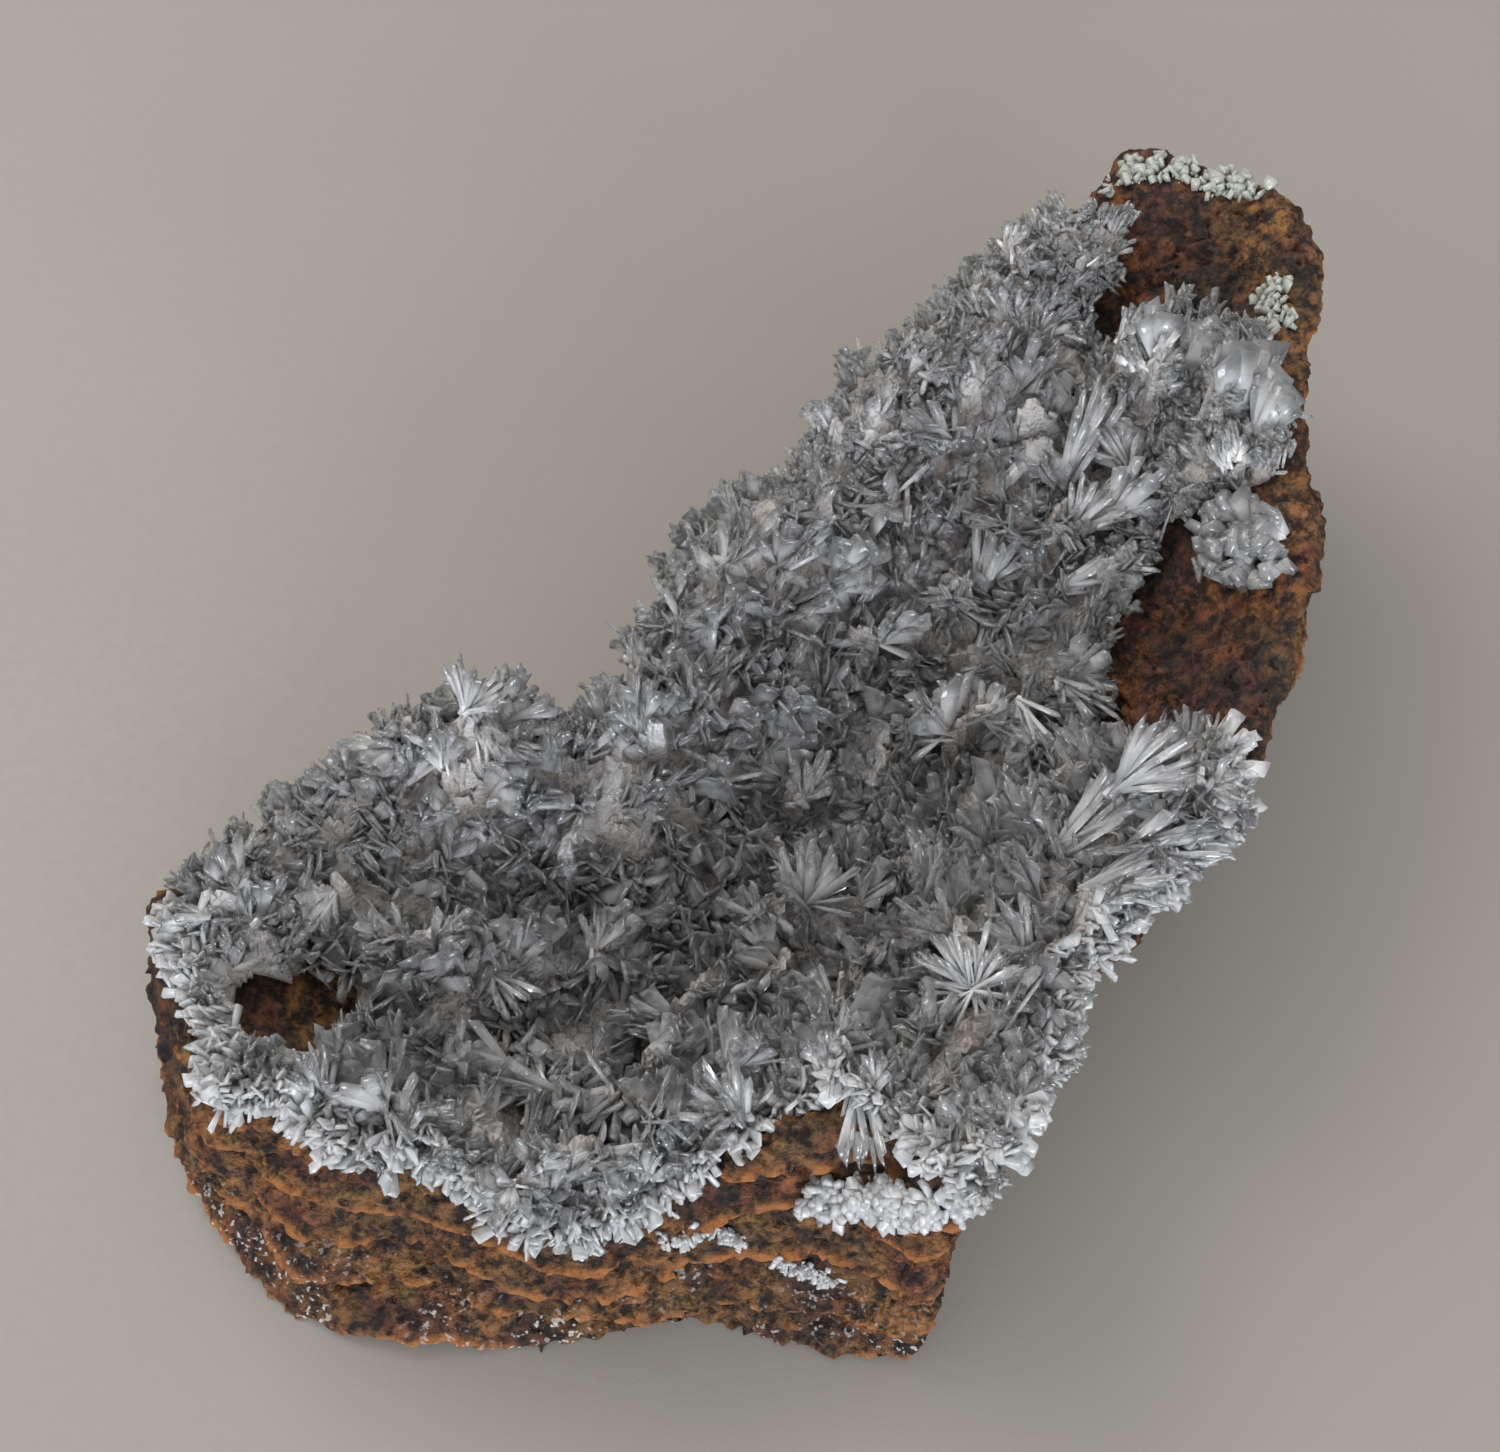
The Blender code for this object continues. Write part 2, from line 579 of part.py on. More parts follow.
def make_crust(rock, tree, known, look):
    rng = random.Random(11)
    crust = add_object("crystal_crust", *patch_form(HOLLOW_PATCH, tree, known, rng), look)
    forms = [patch_form(patch, tree, known, rng) for patch in (ARM_PATCH, LEDGE_PATCH)]
    forms += blades_of(SPRAYS, tree, known, rng)
    combine(crust, objects_of(forms), "UNION")
    combine(crust, [make_window()] + rock_cutters(rock), "DIFFERENCE")
    keep_largest(crust)
    return crust


def make_growth(growth, rock, tree, known, look, rng):
    """A small growth on the rock: a faceted sheet, and short blades on the larger one."""
    name, edge, spacing, thickness, sprays = growth
    grown = add_object(name, *patch_form((edge, spacing, thickness), tree, known, rng), look)
    combine(grown, objects_of(blades_of(sprays, tree, known, rng)), "UNION")
    combine(grown, rock_cutters(rock), "DIFFERENCE")
    keep_largest(grown)
    return grown


def make_seam(seam, rock, tree, look, rng):
    """A thin line of crystal that fills a slit between two bands of the front wall."""
    name, start, end, radius = seam
    start, end = Vector(start) * MM, Vector(end) * MM
    along = (end - start).normalized()
    points = []
    for k in range(SEAM_RINGS):
        share = (k + 0.5) / SEAM_RINGS
        near, normal, _, _ = tree.find_nearest(start.lerp(end, share))
        beyond = normal.cross(along).normalized()
        wide = radius * MM * (0.45 + math.sin(math.pi * share)) * rng.uniform(0.8, 1.25)
        centre = near + normal * CLEARANCE / 2
        for side in range(SEAM_SIDES):
            angle = math.tau * side / SEAM_SIDES
            points.append(centre + (beyond * math.cos(angle) + normal * math.sin(angle)) * wide)
    points = [start] + points + [end]
    form = add_object(name, points, ring_faces(SEAM_SIDES, SEAM_RINGS), look)
    combine(form, rock_cutters(rock), "DIFFERENCE")
    keep_largest(form)
    return form


def stand_on_origin():
    """Moves everything sideways so that the middle of its bounding box is above the origin."""
    meshes = [obj.data for obj in bpy.data.objects]
    corners = np.array([vertex.co for mesh in meshes for vertex in mesh.vertices])
    middle = (corners.min(axis=0) + corners.max(axis=0)) / 2
    shift = Matrix.Translation((-middle[0], -middle[1], 0))
    for mesh in meshes:
        mesh.transform(shift)


def main():
    clear_scene()
    limonite, hemimorphite = material("limonite"), material("hemimorphite")
    known = ground_heights()
    rock = make_rock(limonite)
    tree = tree_of(rock)
    make_crust(rock, tree, known, hemimorphite)
    rng = random.Random(5)
    for growth in GROWTHS:
        make_growth(growth, rock, tree, known, hemimorphite, rng)
    for seam in SEAMS:
        make_seam(seam, rock, tree, hemimorphite, rng)
    stand_on_origin()


main()
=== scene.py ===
"""The looks of the hemimorphite on matrix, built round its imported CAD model.

The limonite is the CAD rock remeshed finely and worked over with bands, strata, cracks and grains. The crust is
a rough ground with thousands of thin tabular crystals on it: sprays all over, a fringe along the front edge, and
the plates and fans that stand out in the photo.

Places and sizes in the lists are in millimetres, with +X to the right and +Y away from the viewer.
"""

import json
import math

import bpy
import numpy as np
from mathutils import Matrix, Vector, noise
from mathutils.bvhtree import BVHTree

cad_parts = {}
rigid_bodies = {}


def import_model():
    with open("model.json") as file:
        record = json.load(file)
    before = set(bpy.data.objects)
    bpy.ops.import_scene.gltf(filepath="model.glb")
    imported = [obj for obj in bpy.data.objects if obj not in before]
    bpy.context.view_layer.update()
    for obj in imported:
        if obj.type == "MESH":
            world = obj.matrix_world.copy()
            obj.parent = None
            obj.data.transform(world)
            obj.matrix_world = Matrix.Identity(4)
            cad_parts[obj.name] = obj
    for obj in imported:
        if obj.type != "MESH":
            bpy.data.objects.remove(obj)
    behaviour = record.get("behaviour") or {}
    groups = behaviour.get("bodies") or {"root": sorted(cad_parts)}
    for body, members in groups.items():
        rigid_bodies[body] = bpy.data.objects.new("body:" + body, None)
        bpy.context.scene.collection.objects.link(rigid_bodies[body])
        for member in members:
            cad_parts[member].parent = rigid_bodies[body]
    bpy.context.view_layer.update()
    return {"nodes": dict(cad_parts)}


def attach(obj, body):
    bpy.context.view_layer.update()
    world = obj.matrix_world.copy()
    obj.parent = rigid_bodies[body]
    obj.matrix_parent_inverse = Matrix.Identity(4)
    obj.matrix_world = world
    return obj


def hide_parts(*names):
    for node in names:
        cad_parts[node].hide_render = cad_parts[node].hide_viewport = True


for leftover in list(bpy.data.objects):
    bpy.data.objects.remove(leftover)

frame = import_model()

MM = 0.001
UP = np.array((0.0, 0.0, 1.0))
random_numbers = np.random.default_rng(20)

# ---- places

# The crust's outline, from the left end along the front edge and back along the rear edge.
HOLLOW = [
    (-64.9, -32.8), (-63.4, -40.3), (-60.4, -46.3), (-57.9, -49.8), (-57.4, -56.8), (-49.4, -55.8),
    (-46.4, -59.8), (-40.4, -61.8), (-32.9, -61.3), (-26.4, -67.3), (-20.4, -68.8), (-12.9, -65.8),
    (-6.4, -62.3), (0.6, -56.8), (6.6, -54.8), (13.6, -58.0), (16.6, -61.5), (18.6, -66.5),
    (22.6, -66.3), (27.6, -56.3), (33.1, -47.8), (33.6, -40.8), (39.1, -36.8), (44.6, -30.8),
    (49.6, -27.8), (53.6, -22.8), (52.6, -14.8), (48.6, -10.8), (42.6, -9.8), (40.6, -3.8),
    (43.1, 1.2), (43.6, 7.2), (46.6, 14.2), (50.1, 18.2), (50.6, 24.2), (48.6, 36.2), (45.6, 46.2),
    (41.6, 49.2), (43.6, 53.2), (47.6, 57.2), (48.1, 61.2), (41.1, 63.7), (33.6, 60.7), (29.6, 58.7),
    (23.6, 51.2), (14.1, 45.2), (8.1, 35.2), (1.1, 25.2), (-4.4, 24.2), (-9.9, 17.2), (-11.9, 10.2),
    (-15.9, 4.2), (-16.4, -3.8), (-23.9, -7.3), (-28.4, -7.0), (-32.9, -7.3), (-43.4, -9.8),
    (-46.9, -13.8), (-55.4, -19.3), (-61.4, -22.8), (-64.9, -29.8),
]
FRONT_EDGE, RIGHT_FRONT_EDGE = HOLLOW[:28], HOLLOW[14:24]
# The patch of plates on the right arm's wall, and the part of the crust with finer crystals.
ARM = [
    (47.6, 21.2), (52.6, 20.2), (56.6, 19.2), (62.1, 18.7), (64.6, 27.2), (63.6, 38.2), (59.6, 44.2),
    (55.6, 49.2), (50.6, 49.2), (44.6, 38.2),
]
FINE = [
    (0, 22), (7, 35), (23, 52), (33, 62), (42, 65), (50, 62), (47, 55), (42, 49), (34, 44), (26, 38),
    (17, 29), (8, 19),
]
# Where the rock shows through the crust: x, y and radius.
WINDOWS = [
    (-54.5, -43.5, 4.2), (-49.5, -40.5, 3.6), (-51.0, -45.5, 3.0), (-59.0, -48.5, 2.4), (39.7, 39.4, 2.2),
    (28.1, 22.2, 1.6), (31.4, -14.8, 1.8), (41.6, -4.3, 2.0),
]
OCHRE_WINDOWS_BELOW_X = -40
EDGE_CLUSTER = [(53.2, 11.2), (57.1, 9.5), (61.3, 7.2), (62.2, 12.2), (59.2, 15.9), (55.6, 17.2), (53.6, 16.7)]
TIP = [
    (44.6, 65.2), (48.6, 66.7), (52.6, 66.2), (56.6, 64.2), (60.6, 62.7), (64.1, 60.7), (65.6, 62.7),
    (61.6, 65.7), (57.1, 67.7), (52.6, 70.2), (48.6, 69.7), (45.6, 67.7),
]
RIM = [(63.2, 40.2), (65.6, 40.4), (66.2, 45.2), (65.6, 49.2), (63.6, 49.2), (63.0, 44.7)]
# The strip of small crystals on the front ledge: start, end and number.
LEDGE_STRIP = [
    ((5.0, -65.0, 25.1), (10.2, -65.0, 28.2), 120),
    ((10.2, -65.0, 28.2), (16.0, -67.5, 32.6), 260),
    ((16.0, -67.5, 32.6), (22.6, -66.0, 34.0), 260),
]
# The plates and fans that stand out: x, y, height of the root over its bed, direction to the right and up as seen
# from the front, number, half spread in radians, length and width.
PLATES = [
    (9.5, -45.5, 3.5, 0.45, 0.9, 1, 0.0, 10.5, 3.2), (-6.5, -44.0, 3.0, -0.5, 0.9, 2, 0.2, 8.0, 3.0),
    (-24.5, -57.0, 2.5, 0.5, 0.6, 6, 0.5, 7.0, 1.8), (-31.0, -37.5, 4.0, 0.5, -0.5, 6, 0.5, 7.0, 1.6),
    (-22.0, -66.0, 2.0, 0.2, 0.9, 7, 0.5, 8.0, 1.8), (-13.0, -64.5, 2.0, 0.1, 0.9, 6, 0.5, 7.5, 1.6),
    (-2.0, -58.5, 2.5, -0.4, 0.9, 6, 0.5, 8.0, 1.8), (10.0, -55.0, 5.0, 0.1, -1.0, 9, 0.45, 9.5, 1.8),
    (22.5, -44.5, 4.5, 0.0, 1.0, 16, 3.0, 7.5, 1.3), (22.5, -44.5, 5.5, 0.3, 1.0, 14, 3.0, 6.0, 1.2),
    (5.0, -27.0, 6.0, 0.4, 1.0, 11, 1.1, 8.5, 2.4), (19.0, -27.0, 4.5, 0.0, 1.0, 5, 0.4, 7.5, 2.4),
    (31.5, -21.0, 4.0, -0.2, 1.0, 6, 0.5, 8.0, 2.6), (34.0, -25.0, 4.0, 0.8, 0.7, 8, 0.5, 13.0, 2.2),
    (39.0, -22.0, 4.0, 0.7, 0.6, 9, 0.6, 12.0, 2.2), (40.0, -27.0, 4.0, 1.0, 0.3, 9, 0.5, 12.0, 2.0),
    (36.0, -31.0, 4.0, 0.9, 0.2, 8, 0.5, 11.0, 1.8), (27.5, 14.0, 4.5, 0.2, 1.0, 4, 0.3, 11.0, 2.8),
    (27.5, 12.5, 4.5, 0.25, -1.0, 2, 0.15, 9.5, 3.0), (27.0, 15.0, 4.5, 0.7, 0.6, 5, 0.3, 9.0, 2.0),
    (27.0, 14.5, 4.5, -0.9, -0.1, 4, 0.3, 8.0, 1.8), (37.0, 13.0, 4.0, 0.95, 0.3, 6, 0.25, 11.0, 2.4),
    (38.5, 27.0, 4.0, 0.35, 0.9, 6, 0.28, 13.5, 2.6), (39.0, 20.0, 4.0, 0.5, 0.6, 8, 0.7, 9.0, 2.0),
    (31.0, -3.5, 4.5, 0.2, -0.9, 10, 0.6, 9.5, 1.6), (36.5, 1.0, 4.0, 0.6, -0.7, 8, 0.6, 9.0, 1.6),
    (49.5, 38.0, 1.5, -0.2, 0.9, 5, 0.6, 7.0, 3.4), (54.5, 39.0, 1.5, 0.5, 0.8, 5, 0.6, 7.0, 3.2),
    (57.5, 27.0, 1.5, 0.1, 1.0, 5, 0.35, 12.0, 4.2), (60.0, 24.0, 1.5, 0.4, 0.9, 5, 0.5, 9.0, 3.4),
    (-33.5, -13.0, 3.5, 0.4, 0.7, 8, 0.9, 7.0, 1.8), (-40.0, -18.0, 3.5, -0.3, 0.9, 8, 0.9, 6.5, 1.8),
    (-46.5, -56.0, 2.5, -0.3, 0.9, 6, 0.5, 6.5, 1.8), (-40.0, -38.5, 3.5, -0.2, 0.9, 7, 0.8, 7.0, 2.0),
    (-57.5, -34.0, 2.5, -0.4, 0.7, 6, 0.7, 6.0, 1.8),
]


def inside(x, y, edge):
    """True if the place lies within a closed outline."""
    odd = False
    for (ax, ay), (bx, by) in zip(edge, edge[1:] + edge[:1]):
        if (ay > y) != (by > y) and x < (bx - ax) * (y - ay) / (by - ay) + ax:
            odd = not odd
    return odd


def in_window(x, y, grow):
    """True within a window, made larger by grow."""
    return any(math.hypot(x - a, y - b) < r + grow for a, b, r in WINDOWS)


def covered(x, y):
    """True where the crust grows."""
    return inside(x, y, HOLLOW) or inside(x, y, ARM)


def edge_distance(x, y, edge):
    """Distance from a place to a closed outline."""
    points = np.array(edge, float)
    spans = np.roll(points, -1, 0) - points
    place = np.array((x, y))
    share = np.clip(((place - points) * spans).sum(1) / (spans**2).sum(1), 0, 1)
    return float(np.sqrt(((points + spans * share[:, None] - place) ** 2).sum(1)).min())


# ---- the CAD surfaces

CRUST_DEPTH = 3.5
rock_source = frame["nodes"]["matrix"]


def surface_tree(mesh):
    """The search tree of a mesh, for rays and nearest points."""
    return BVHTree.FromPolygons([v.co.copy() for v in mesh.vertices], [tuple(p.vertices) for p in mesh.polygons])


def top_of(tree, x, y):
    """Height in mm and normal of a surface straight below a place, or None outside it."""
    hit, normal, _, _ = tree.ray_cast(Vector((x * MM, y * MM, 1.0)), Vector((0, 0, -1)))
    if hit is None:
        return None, None
    return hit.z / MM, normal


rock_tree = surface_tree(rock_source.data)
crust_tree = surface_tree(frame["nodes"]["crystal_crust"].data)


def bed(x, y):
    """Where crystals root below a place: the rock, or the depth of the crust where that hangs over."""
    top, normal = top_of(rock_tree, x, y)
    crust_top, crust_normal = top_of(crust_tree, x, y)
    if crust_top is not None and (top is None or crust_top - CRUST_DEPTH > top):
        return crust_top - CRUST_DEPTH, crust_normal
    return top, normal


def evaluated(obj):
    """Replaces the object's mesh by its evaluated mesh."""
    graph = bpy.context.evaluated_depsgraph_get()
    mesh = bpy.data.meshes.new_from_object(obj.evaluated_get(graph))
    obj.modifiers.clear()
    obj.data = mesh


def add_mesh(name, points, faces):
    """A new object in the scene, from points in metres."""
    mesh = bpy.data.meshes.new(name)
    mesh.from_pydata(points, [], faces)
    mesh.update()
    obj = bpy.data.objects.new(name, mesh)
    bpy.context.scene.collection.objects.link(obj)
    return obj


# ---- the rock

DRAWING_OFFSET = Vector((1.38, 1.80, 0))  # from the frame to the drawing, where the CAD's bands are laid out
BAND_PITCH, STRATUM_PITCH = 7.5, 2.2
STEP = 1.9  # how far a band's lip stands out over the recess under it
LIP_AT = 0.08  # share of a band over which it steps out to its lip
SKIN = 0.72  # the voxel size of the remeshed rock
ROCK_TRIANGLES = 195000


def limit(value):
    return min(1.0, max(0.0, value))


def peak(value, centre, reach):
    """1 at the centre, and 0 from reach on."""
    return max(0.0, 1 - abs(value - centre) / reach)


def work_rock(mesh):
    """Moves each point of the rock's skin along its normal, and keeps how far it is a lip or ochre, and how deep it
    lies in a recess, hole or dip that the material darkens as painted shade.
    """
    lips, pit_shades, ochres, moved = [], [], [], []
    for p, normal in [(vertex.co / MM, vertex.normal.copy()) for vertex in mesh.vertices]:
        q = p + DRAWING_OFFSET
        steep = limit(1.15 - abs(normal.z) * 1.2)
        # How far up its band and its stratum the place is, from 0 at the lower lip to 1 under the next.
        wave = 4.5 * noise.noise(q / 28) + 1.3 * math.sin(q.x / 13 + q.y / 19)
        share = ((q.z + wave) / BAND_PITCH) % 1.0
        fine_wave = wave + 0.9 * noise.noise(q / 5.5)
        fine = ((q.z + fine_wave) / STRATUM_PITCH) % 1.0
        grain = noise.fractal(q / 2.0, 0.7, 2.1, 4)
        crack = abs(noise.fractal(q / 6 + Vector((3, 8, 1)), 0.9, 2.0, 3))
        hole = max(0.0, 0.10 - crack) * 10 * limit(0.5 + 1.6 * noise.noise(q / 9))
        lump = noise.noise(q / 7)
        # The bands are clear along the front, and come and go elsewhere.
        front = limit((-44 - p.y) / 8)
        clear_band = limit(0.20 + 0.85 * front + 1.0 * noise.noise(q / 13))
        step = STEP * clear_band * ((0.5 - share) if share > LIP_AT else 0.42 * share / LIP_AT)
        offset = steep * (step + (0.5 + 0.6 * clear_band) * (0.45 - fine) + (1.6 - 1.2 * front) * lump)
        offset += 0.62 * grain - 0.8 * hole
        if normal.z < -0.9 and p.z < 0.3:  # the flat underside stays flat
            offset = 0.0
        place = p + normal * offset
        moved += [place.x * MM, place.y * MM, max(0.0, place.z) * MM]
        lip = steep * clear_band * (1.6 * peak(share, 0.09, 0.13) + 0.5 * peak(fine, 0.12, 0.16))
        # Painted shade: the recess under the next band's lip, the holes and the dips of the grain are kept here to
        # be darkened in the rock's colour.
        recess = steep * clear_band * (1.3 * max(0.0, (share - 0.72) / 0.28) + 0.6 * max(0.0, (fine - 0.76) / 0.24))
        lips.append(min(1.0, lip + 0.2 * max(0.0, grain)))
        pit_shades.append(min(1.0, recess + 0.5 * hole + 0.8 * max(0.0, -grain - 0.15)))
        rim = limit((p.x - 56) / 6)
        in_ochre_window = in_window(p.x, p.y, 1.5) and p.x < OCHRE_WINDOWS_BELOW_X
        ochre = max((1.6 if in_ochre_window else front) * (0.45 + 0.55 * (1 - steep)), 0.6 * rim)
        ochres.append(ochre * limit(0.6 + 2.2 * noise.noise(q / 6)))
    mesh.vertices.foreach_set("co", moved)
    for name, values in (("lip", lips), ("pit_shade", pit_shades), ("ochre", ochres)):
        mesh.attributes.new(name, "FLOAT", "POINT").data.foreach_set("value", values)


def make_rock():
    """The CAD rock with a fine skin, worked over and thinned out to its limit of triangles."""
    rock = bpy.data.objects.new("rock", rock_source.data.copy())
    bpy.context.scene.collection.objects.link(rock)
    remesh = rock.modifiers.new("fine skin", "REMESH")
    remesh.mode = "VOXEL"
    remesh.voxel_size = SKIN * MM
    evaluated(rock)
    work_rock(rock.data)
    count = sum(len(p.vertices) - 2 for p in rock.data.polygons)
    if count > ROCK_TRIANGLES:
        thin = rock.modifiers.new("fewer faces", "DECIMATE")
        thin.ratio = ROCK_TRIANGLES / count
        evaluated(rock)
    return rock


# ---- crystals

# A blade is three rings of four points: its root, its shoulder and its tip.
RING = np.array([(0.5, 0.5), (-0.5, 0.5), (-0.5, -0.5), (0.5, -0.5)])
BLADE_FACES = [(3, 2, 1, 0), (8, 9, 10, 11)]
BLADE_FACES += [(i, (i + 1) % 4, 4 + (i + 1) % 4, 4 + i) for i in range(4)]
BLADE_FACES += [(4 + i, 4 + (i + 1) % 4, 8 + (i + 1) % 4, 8 + i) for i in range(4)]
BLADE_POINTS = 12
RISE = (0.0, 0.8, 1.0)  # how far up the blade each ring counts as in the crystal material
OVERHANG_FLOOR = 16  # the lowest height for the tip of a crystal that hangs beyond the rock
FINE_SCALE, ARM_SCALE = 0.60, 0.50
SPRAY_TRIES = 42000
SPRAY_RADIUS = 4.2
CELL = 4  # the grid on which near sprays are looked up


def unit(v):
    """v, or each row of v, at length 1."""
    return v / np.maximum(np.linalg.norm(v, axis=-1, keepdims=True), 1e-9)


class Crystals:
    """A growing list of tabular crystals, in mm: root, direction, width direction and sizes."""

    def __init__(self):
        self.rows = []

    def add(self, root, along, across, length, width, thickness):
        self.rows.append((*root, *along, *across, length, width, thickness))

    def mesh(self, name, keep=None):
        """One mesh of all the crystals that keep lets through."""
        rows = np.array(self.rows)
        if keep is not None:
            rows = rows[keep]
        count = len(rows)
        rng = np.random.default_rng(count)
        root, along, across = rows[:, 0:3], unit(rows[:, 3:6]), rows[:, 6:9]
        length, width, thick = rows[:, 9], rows[:, 10], rows[:, 11]
        flat = unit(np.cross(along, across))
        across = unit(np.cross(flat, along))
        shoulder = rng.uniform(0.86, 0.96, count)
        tip = rng.uniform(0.50, 0.92, count)
        slant = rng.uniform(-0.09, 0.09, count)
        side = rng.uniform(-0.12, 0.12, count)
        points = np.zeros((count, BLADE_POINTS, 3))
        uv = np.zeros((count, BLADE_POINTS, 2))
        start = rng.uniform(0, 90, (count, 2))
        for k, (u, v) in enumerate(RING):
            levels = (
                (np.zeros(count), 0.62 * u * width, 0.8 * v * thick),
                (shoulder * length, u * width, v * thick),
                ((1.0 + slant * u * 2) * length, (u * tip + side) * width, 0.55 * v * thick),
            )
            for ring, (high, wide, deep) in enumerate(levels):
                points[:, ring * 4 + k] = (
                    root + along * high[:, None] + across * wide[:, None] + flat * deep[:, None]
                )
                uv[:, ring * 4 + k, 0] = wide + start[:, 0]
                uv[:, ring * 4 + k, 1] = high + start[:, 1]
        faces = (np.array(BLADE_FACES)[None] + (np.arange(count) * BLADE_POINTS)[:, None, None]).reshape(-1, 4)
        mesh = bpy.data.meshes.new(name)
        mesh.vertices.add(count * BLADE_POINTS)
        mesh.vertices.foreach_set("co", (points * MM).reshape(-1))
        mesh.loops.add(faces.size)
        mesh.loops.foreach_set("vertex_index", faces.reshape(-1))
        mesh.polygons.add(len(faces))
        mesh.polygons.foreach_set("loop_start", np.arange(len(faces)) * 4)
        mesh.polygons.foreach_set("loop_total", np.full(len(faces), 4))
        mesh.update(calc_edges=True)
        layer = mesh.uv_layers.new(name="blade")
        layer.data.foreach_set("uv", (uv.reshape(-1, 2)[faces.reshape(-1)]).reshape(-1))
        tone = np.repeat(rng.uniform(0, 1, count), BLADE_POINTS)
        mesh.attributes.new("tone", "FLOAT", "POINT").data.foreach_set("value", tone)
        rise = np.tile(np.repeat(RISE, 4), count)
        mesh.attributes.new("rise", "FLOAT", "POINT").data.foreach_set("value", rise)
        obj = bpy.data.objects.new(name, mesh)
        bpy.context.scene.collection.objects.link(obj)
        return obj


def clear(tip):
    """True if a crystal's tip is above the rock, or beyond it and not far down."""
    top, _ = top_of(rock_tree, tip[0], tip[1])
    return tip[2] > (OVERHANG_FLOOR if top is None else top + 0.3)


def any_across(along, rng):
    """A random width direction for a crystal."""
    return unit(np.cross(along, rng.normal(0, 1, 3)))


def turned(v, axis, angle):
    """v turned about a unit axis."""
    c, s = math.cos(angle), math.sin(angle)
    return v * c + np.cross(axis, v) * s + axis * (axis @ v) * (1 - c)


def fan(crystals, root, axis, plane, count, spread, length, width, rng, jitter=0.12):
    """Crystals that open from one root like a hand of cards, turned about the direction called plane."""
    for k in range(count):
        share = (k + 0.5) / count * 2 - 1
        angle = share * spread + rng.normal(0, 0.06)
        along = turned(axis, plane, angle)
        along = unit(along + plane * rng.normal(0, jitter))
        across = unit(np.cross(along, plane) + plane * rng.normal(0, 0.22))
        size = length * rng.uniform(0.70, 1.08) * (1 - 0.15 * share * share)
        place = root + rng.normal(0, 0.35, 3)
        if clear(place + along * size):
            crystals.add(place, along, across, size, width * rng.uniform(0.6, 1.25), rng.uniform(0.22, 0.42))


def spray(crystals, root, axis, scale, rng):
    """Two crossed fans that share a root, with loose crystals between them."""
    side = any_across(axis, rng)
    turn = rng.uniform(0, math.pi)
    for quarter in (0, math.pi / 2):
        plane = turned(side, axis, turn + quarter + rng.normal(0, 0.25))
        lean = unit(axis + unit(np.cross(axis, plane)) * rng.normal(0, 0.25) + plane * rng.normal(0, 0.2))
        plane = unit(plane - lean * (plane @ lean))
        fan(
            crystals, root, lean, plane, int(rng.integers(6, 10)), rng.uniform(0.35, 0.95),
            scale * rng.uniform(5.5, 8.8), scale * rng.uniform(1.3, 2.7), rng,
        )
    for _ in range(5):
        along = unit(axis + rng.normal(0, 0.55, 3))
        across = any_across(along, rng)
        size = scale * rng.uniform(3.5, 7.0)
        if clear(root + along * size):
            crystals.add(
                root + rng.normal(0, 0.6, 3), along, across, size, scale * rng.uniform(1.0, 2.4),
                rng.uniform(0.3, 0.6),
            )


def scatter(crystals, rng):
    """Sprays all over the crust, no two closer than their size allows."""
    cells = {}
    for _ in range(SPRAY_TRIES):
        x, y = rng.uniform(-66, 66), rng.uniform(-71, 67)
        hides_window = x < OCHRE_WINDOWS_BELOW_X and in_window(x, y + 2.5, 1.2)
        if not covered(x, y) or in_window(x, y, 0.6) or hides_window:
            continue
        top, normal = bed(x, y)
        if top is None:
            continue
        scale = FINE_SCALE if inside(x, y, FINE) else rng.uniform(0.80, 1.12)
        if x < -50:
            scale *= 0.85
        if inside(x, y, HOLLOW):
            scale *= 0.58 + 0.42 * min(1.0, edge_distance(x, y, HOLLOW) / 6.0)
        else:
            scale = ARM_SCALE
        radius = SPRAY_RADIUS * scale
        key = (int(x // CELL), int(y // CELL))
        around = [(key[0] + i, key[1] + j) for i in (-1, 0, 1) for j in (-1, 0, 1)]
        near = [spot for place in around for spot in cells.get(place, ())]
        if any((x - a) ** 2 + (y - b) ** 2 + (top - c) ** 2 < (radius + r) ** 2 / 4 for a, b, c, r in near):
            continue
        cells.setdefault(key, []).append((x, y, top, radius))
        normal = np.array(normal)
        axis = unit(normal * 0.8 + UP * 0.55 + rng.normal(0, 0.26, 3))
        spray(crystals, np.array((x, y, top)) + normal * 0.9, axis, scale, rng)


def fringe(crystals, path, per_mm, inward, sizes, rng):
    """Crystals along an edge of the crust that lean out over it; the path has the outer side to its right."""
    for (ax, ay), (bx, by) in zip(path, path[1:]):
        step = math.hypot(bx - ax, by - ay)
        out = np.array(((by - ay) / step, (ax - bx) / step, 0.0))
        for _ in range(int(step * per_mm)):
            share, back = rng.uniform(0, 1), rng.uniform(-0.8, inward)
            x, y = ax + (bx - ax) * share - out[0] * back, ay + (by - ay) * share - out[1] * back
            top, _ = bed(x, y)
            if top is None:
                continue
            axis = unit(out * rng.uniform(0.2, 1.0) + UP * rng.uniform(0.15, 1.0) + rng.normal(0, 0.28, 3))
            across = any_across(axis, rng)
            size = rng.uniform(*sizes)
            crystals.add(
                np.array((x, y, top + rng.uniform(0.2, 1.8))), axis, across, size, size * rng.uniform(0.25, 0.55),
                rng.uniform(0.25, 0.5),
            )


# The directions towards the front and up of one who looks down at the piece by 58 degrees.
TOWARDS = np.array((0.0, -0.53, 0.848))
UPWARDS = np.array((0.0, 0.848, 0.530))
BROAD = 3  # crystals this wide stay single plates; narrower ones are split into more and finer ones


